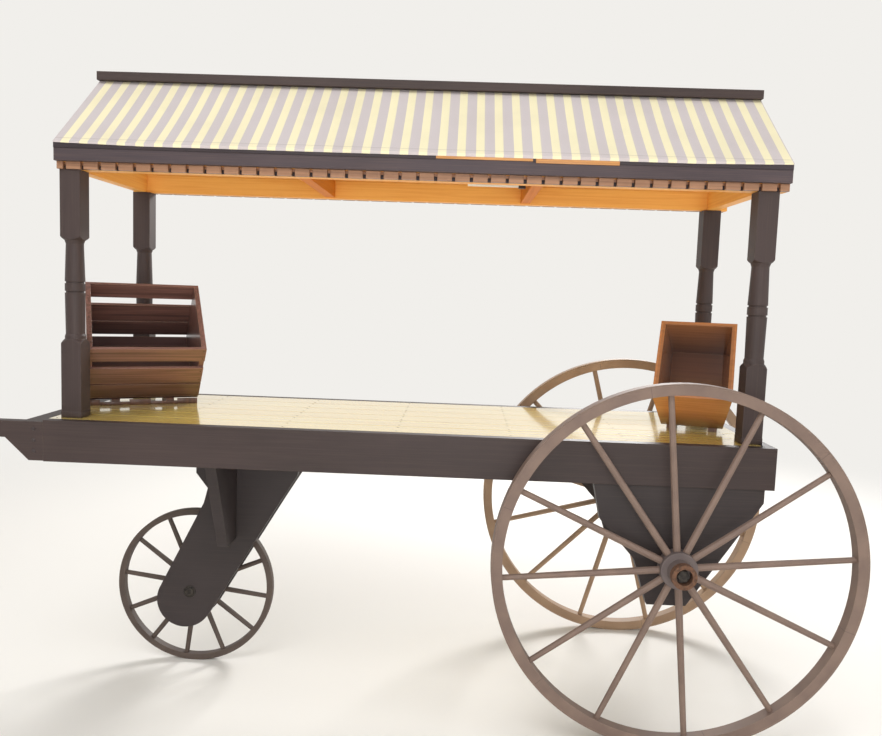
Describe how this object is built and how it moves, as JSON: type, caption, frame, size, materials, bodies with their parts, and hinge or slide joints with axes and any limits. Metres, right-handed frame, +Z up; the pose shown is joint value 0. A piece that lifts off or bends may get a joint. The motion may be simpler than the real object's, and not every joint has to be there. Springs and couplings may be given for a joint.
{
  "type": "vendor cart",
  "caption": "Wooden vendor cart with a striped gable canopy on turned posts, a varnished deck with two tipped display boxes, large spoked wheels and a small leading wheel in a fork.",
  "frame": {"origin": "centre of the footprint of the whole cart, on the floor", "axes": "+X along the cart from the handles to the big wheels, +Y across it away from the serving side in the picture, +Z up"},
  "size_m": [3.0125, 1.122, 2.2279],
  "materials": {
    "brown_paint": "satin taupe-brown paint over planed boards",
    "orange_varnish": "glossy honey-orange varnish",
    "wheel_paint": "matt taupe paint over wood",
    "painted_steel": "matt taupe paint, worn",
    "rusty_iron": "rusty, matt",
    "steel": "dull",
    "striped_cloth": "woven, striped cream and taupe",
    "lamp_white": "white, satin"
  },
  "bodies": {
    "cart": {"axle_bed": "brown_paint", "bin_box": "orange_varnish", "bin_stand": "orange_varnish", "canopy_far": "striped_cloth", "canopy_near": "striped_cloth", "crate_ends": "orange_varnish", "crate_slats": "orange_varnish", "crate_stand": "orange_varnish", "deck_boards": "orange_varnish", "dentil_trim": "orange_varnish", "end_beam_front": "brown_paint", "end_board_rear": "brown_paint", "end_plates": "orange_varnish", "fascias": "brown_paint", "floor_joists": "brown_paint", "fork_bolster": "brown_paint", "fork_cheeks": "brown_paint", "fork_knees": "brown_paint", "front_axle": "steel", "handles": "brown_paint", "lamp_holder": "lamp_white", "lamp_tube": "lamp_white", "long_plates": "orange_varnish", "posts": "brown_paint", "rafters": "orange_varnish", "rear_axle": "steel", "rear_axle_nuts": "rusty_iron", "rear_hangers": "brown_paint", "ridge_board": "orange_varnish", "ridge_cap": "brown_paint", "side_boards": "brown_paint", "soffits": "orange_varnish", "tie_beams": "orange_varnish"},
    "wheel_near": {"wheel_near_hub": "wheel_paint", "wheel_near_hub_band": "rusty_iron", "wheel_near_rim": "wheel_paint", "wheel_near_spokes": "wheel_paint", "wheel_near_tyre": "painted_steel"},
    "wheel_far": {"wheel_far_hub": "wheel_paint", "wheel_far_hub_band": "rusty_iron", "wheel_far_rim": "wheel_paint", "wheel_far_spokes": "wheel_paint", "wheel_far_tyre": "painted_steel"},
    "front_wheel": {"front_wheel_hub": "wheel_paint", "front_wheel_rim": "wheel_paint", "front_wheel_spokes": "wheel_paint", "front_wheel_tyre": "painted_steel"}
  },
  "joints": [
    {"name": "wheel_near_spin", "type": "hinge", "parent": "cart", "child": "wheel_near", "pos_m": [0.90175, -0.475, 0.6045], "axis": [0, 1, 0], "continuous": true},
    {"name": "wheel_far_spin", "type": "hinge", "parent": "cart", "child": "wheel_far", "pos_m": [0.90175, 0.475, 0.6045], "axis": [0, 1, 0], "continuous": true},
    {"name": "front_wheel_spin", "type": "hinge", "parent": "cart", "child": "front_wheel", "pos_m": [-0.82425, 0, 0.301], "axis": [0, 1, 0], "continuous": true}
  ]
}
